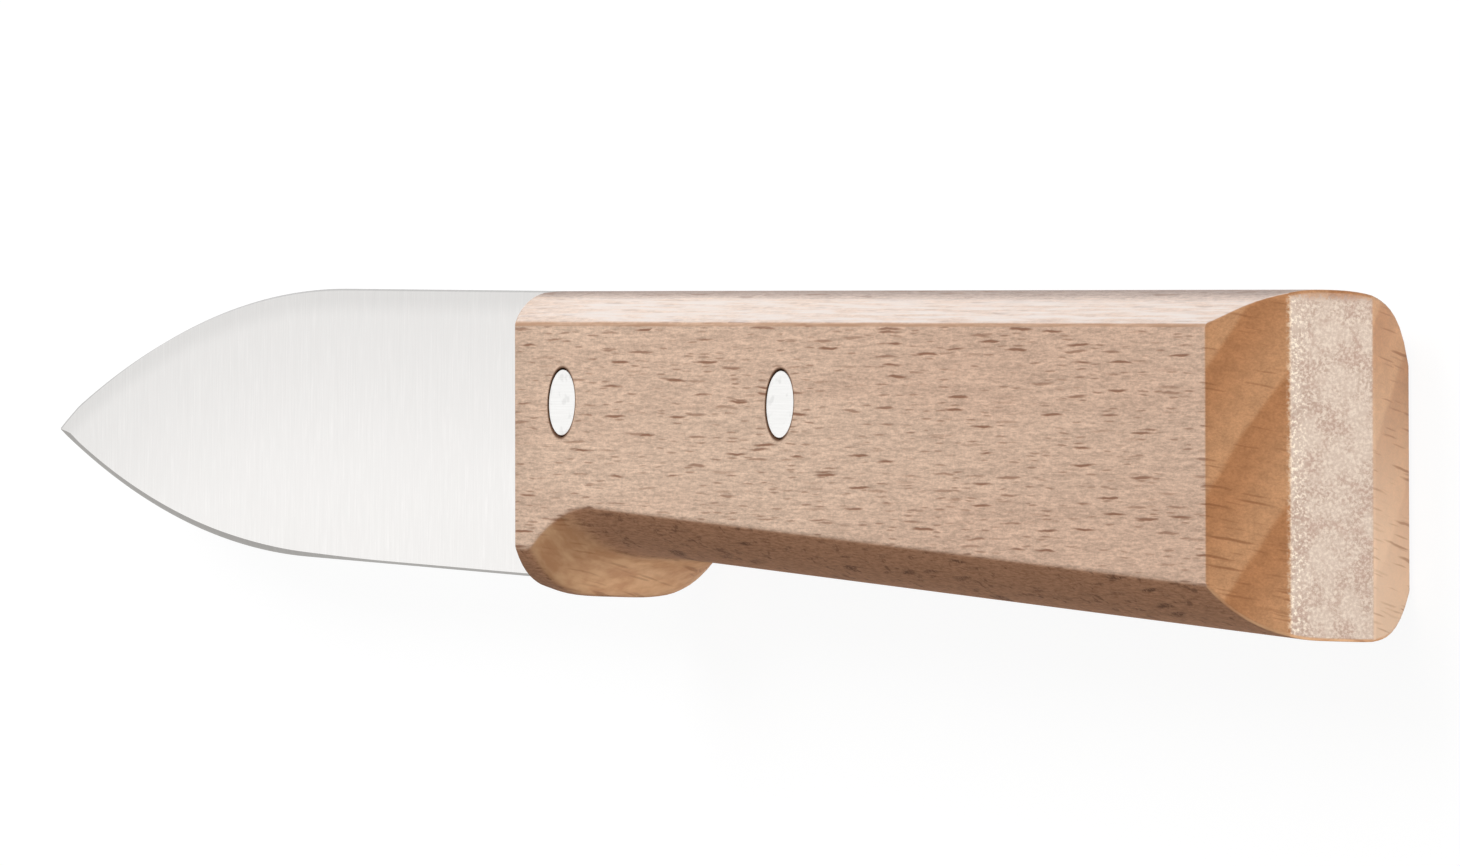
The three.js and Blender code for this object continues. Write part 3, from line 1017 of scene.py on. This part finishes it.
def rivet_ring_shade(tree):
    """1 at the rim of each rivet hole, falling to 0 over a thin ring around it."""
    hole_radius = (RIVET_DIAMETER / 2 + RIVET_CLEARANCE) * MM
    ring_shade = 0.0
    for x, y in RIVET_PLACES.values():
        middle = knife_to_frame @ Vector((x, y, 0))
        offset = vector_node(tree, "SUBTRACT", object_place(tree), middle)
        distance = vector_node(tree, "LENGTH", vector_node(tree, "MULTIPLY", offset, (1, 1, 0)))
        ring = ramp(tree, distance, hole_radius + RING_SHADE_WIDTH * MM, hole_radius)
        ring_shade = math_node(tree, "MAXIMUM", ring_shade, ring)
    return ring_shade


# Painted shade: a thin dark ring around each rivet.
wood_colour = mix_colour(tree, rivet_ring_shade(tree), wood_colour, RING_SHADE)
satin = math_node(tree, "SUBTRACT", oil, sawn)
rough = ramp(tree, satin, 0.0, 1.0, FACE_ROUGHNESS, END_ROUGHNESS)
rough = math_node(tree, "ADD", rough, over_noise(tree, speckle, -ROUGHNESS_SPREAD, ROUGHNESS_SPREAD))
relief = math_node(tree, "SUBTRACT", math_node(tree, "ADD", speckle, streaks), rays)
bump = add_node(tree, "Bump", {"Height": relief, "Strength": 0.15, "Distance": 0.0001})
wood = add_node(
    tree, "BsdfPrincipled",
    {
        "Base Color": wood_colour, "Roughness": rough, "Specular IOR Level": 0.05,
        "Normal": bump.outputs[0],
    },
)
finish_material(tree, wood)
handle.data.materials.clear()
handle.data.materials.append(beech)

# %% [markdown]
# ## Satin steel
#
# The blade is brushed from spine to edge on a belt, so its scratches run straight up and down
# the blade. Noise that is about a tenth of a millimetre wide and several millimetres long makes
# such lines in colour, roughness and relief; its brighter streaks in the colour are painted glints.
# The steel is painted a touch greyer towards the spine as painted shade, with a darker line on the
# spine's broken corners as painted reflection, and the cutting bevel is painted grey as its painted
# reflection. All three follow what the blade's mesh has stored.

# %% Blade finish
BRUSHED_STEEL = srgb(247, 245, 243)
BEVEL_REFLECTION_GREY = srgb(156, 153, 149)
SCRATCH_DEPTH = 0.00002


def finish_metal(tree, colour, rough, relief, strength):
    bump = add_node(tree, "Bump", {"Height": relief, "Strength": strength, "Distance": SCRATCH_DEPTH})
    settings = {"Base Color": colour, "Metallic": 1.0, "Roughness": rough, "Normal": bump.outputs[0]}
    finish_material(tree, add_node(tree, "BsdfPrincipled", settings))


steel, tree = new_material("satin_steel")
brushing = noise(tree, (0.09, 8, 30), detail=3, roughness=0.65)
glints = noise(tree, (0.22, 2.4, 30), detail=3, roughness=0.6)
below_spine = stored(tree, "below_spine")
# Painted shade: greyer towards the spine, and a darker line as painted reflection on its corners.
spine_shade_grey = ramp(tree, below_spine, 0.0, 14.0, 0.89, 1.0)
spine_shadow = ramp(tree, below_spine, 0.5, 1.9, 0.91, 1.0)
spine_reflection_line = ramp(tree, below_spine, 0.05, 0.16, 0.68, 1.0)
steel_shade = multiply(
    tree, ramp(tree, brushing, 0.25, 0.75, 0.98, 1.01), ramp(tree, glints, 0.45, 0.8, 0.99, 1.05),
    spine_shade_grey, spine_shadow, spine_reflection_line,
)
steel_colour = shaded(tree, BRUSHED_STEEL, steel_shade)
# Painted reflection: the cutting bevel is grey.
steel_colour = mix_colour(tree, stored(tree, "bevel"), steel_colour, BEVEL_REFLECTION_GREY)
finish_metal(tree, steel_colour, ramp(tree, brushing, 0.25, 0.75, 0.4, 0.28), brushing, 0.06)
blade.data.materials.append(steel)

# %% [markdown]
# ## Ground aluminium
#
# The rivets were ground together with the wood, so fine scratches cross them along the handle.
# They are whiter and softer than the steel, with a few grey smears left by the belt.

# %% Rivet finish
GROUND_ALUMINIUM = srgb(250, 249, 247)

aluminium, tree = new_material("ground_aluminium")
scratches = noise(tree, (6, 0.06, 6), detail=3, roughness=0.6)
smears = noise(tree, (1.1, 0.7, 3))
smear_shade = ramp(tree, smears, 0.55, 0.7, 1.0, 0.88)
rivet_shade = multiply(tree, over_noise(tree, scratches, 0.96, 1.02), smear_shade)
rivet_colour = shaded(tree, GROUND_ALUMINIUM, rivet_shade)
finish_metal(tree, rivet_colour, over_noise(tree, scratches, 0.42, 0.3), scratches, 0.05)
for rivet in rivets:
    rivet.data.materials.append(aluminium)

# %% [markdown]
# ## The floor
#
# The knife lies on a white table. The floor is white to the camera by a part of its own light, and
# the rest is a plain grey that takes the knife's shadow. To all other rays it is ordinary white
# card, which throws light back up at the knife.

# %% White floor
FLOOR_HALF = 4.0
FLOOR_GAP = 0.0002
SHADOW_GREY = 0.1
FLOOR_GLOW = 0.93
CARD_WHITE = 0.8

floor_mesh = bmesh.new()
bmesh.ops.create_grid(floor_mesh, x_segments=1, y_segments=1, size=FLOOR_HALF / MM)
bmesh.ops.translate(floor_mesh, verts=floor_mesh.verts, vec=(0, 0, -HALF_THICKNESS - FLOOR_GAP / MM))
floor = new_object(floor_mesh, "floor")


def grey(value):
    return (value, value, value, 1)


def seen(tree):
    """1 for rays that show the background: straight to the camera, mirrored or through glass."""
    path = add_node(tree, "LightPath").outputs
    mirrored = math_node(tree, "MAXIMUM", path["Is Glossy Ray"], path["Is Transmission Ray"])
    return math_node(tree, "MAXIMUM", path["Is Camera Ray"], mirrored)


white, tree = new_material("white_floor")
matte = add_node(tree, "BsdfDiffuse", {"Color": grey(SHADOW_GREY)})
glow = add_node(tree, "Emission", {"Color": grey(1), "Strength": FLOOR_GLOW})
bright = add_node(tree, "AddShader", {0: matte.outputs[0], 1: glow.outputs[0]})
card = add_node(tree, "BsdfDiffuse", {"Color": grey(CARD_WHITE)})
surface = add_node(tree, "MixShader", {0: seen(tree), 1: card.outputs[0], 2: bright.outputs[0]})
finish_material(tree, surface)
floor.data.materials.append(white)

# %% [markdown]
# ## The tent
#
# An even white tent stands over the table. It is brightest above the spine and darker below the
# edge, which models the wood, and plain white where the camera or the metal sees it.

# %% White tent
TENT_DARK = 0.1
TENT_BRIGHT = 0.65

world = bpy.data.worlds.new("tent")
bpy.context.scene.world = world
world.use_nodes = True
tree = world.node_tree
tree.nodes.clear()
direction = add_node(tree, "TexCoord").outputs["Generated"]
spineward = add_node(tree, "SeparateXYZ", {"Vector": direction}).outputs["Y"]
tent = ramp(tree, spineward, -0.5, 0.5, TENT_DARK, TENT_BRIGHT)
strength = math_node(tree, "MAXIMUM", tent, seen(tree))
sky = add_node(tree, "Background", {"Color": grey(1), "Strength": strength})
output = add_node(tree, "OutputWorld")
tree.links.new(sky.outputs[0], output.inputs["Surface"])
print("world nodes:", len(tree.nodes))

# %% [markdown]
# ## Lamps
#
# Two soft lamps shape the knife: a broad key above the spine, and a small fill from the side where
# the camera stands. The metal does not mirror them, as behind a diffuser: it shows only the even
# white of the tent.

# %% Key and fill
def soft_lamp(name, place, size, watts):
    data = bpy.data.lights.new(name, "AREA")
    data.shape = "DISK"
    data.size = size
    data.energy = watts
    lamp = bpy.data.objects.new(name, data)
    lamp.location = place
    lamp.rotation_euler = (-Vector(place)).to_track_quat("-Z", "Y").to_euler()
    lamp.visible_camera = False
    lamp.visible_glossy = False
    bpy.context.scene.collection.objects.link(lamp)
    print(f"{name}: {watts} W from {place}")


soft_lamp("key", place=(-0.385, 0.715, 0.737), size=0.8, watts=9.5)
soft_lamp("front", place=(1.17, -0.3, 0.09), size=0.16, watts=9.5)

# %% [markdown]
# ## Camera
#
# The picture was taken with a long lens from behind the butt, looking along the knife at about
# 23 degrees above its side. The camera turns around a point on the knife: an angle from +X
# towards +Z, a slight dip below the knife's middle, and a small roll.

# %% Long lens behind the butt
LOOK_AT = Vector((0.010538, 0.001377, 0.0062))
CAMERA_DISTANCE = 1.4972
ABOVE_SIDE = math.radians(23.0871)
DIP = math.radians(-0.4469)
ROLL = math.radians(1.6871)
LENS = 616.438
SENSOR = 36.0

back = Vector((math.cos(DIP) * math.cos(ABOVE_SIDE), math.sin(DIP), math.cos(DIP) * math.sin(ABOVE_SIDE)))
level_up = (Vector((0, 1, 0)) - back * back.y).normalized()
level_right = level_up.cross(back)
right = level_right * math.cos(ROLL) + level_up * math.sin(ROLL)
up = level_up * math.cos(ROLL) - level_right * math.sin(ROLL)
turn = Matrix((right, up, back)).transposed().to_4x4()

lens = bpy.data.cameras.new("long_lens")
lens.lens = LENS
lens.sensor_width = SENSOR
camera = bpy.data.objects.new("camera", lens)
camera.matrix_world = Matrix.Translation(LOOK_AT + back * CAMERA_DISTANCE) @ turn
bpy.context.scene.collection.objects.link(camera)
bpy.context.scene.camera = camera
bpy.context.scene.view_settings.view_transform = "Standard"
print("camera at", [round(value, 3) for value in camera.matrix_world.translation])
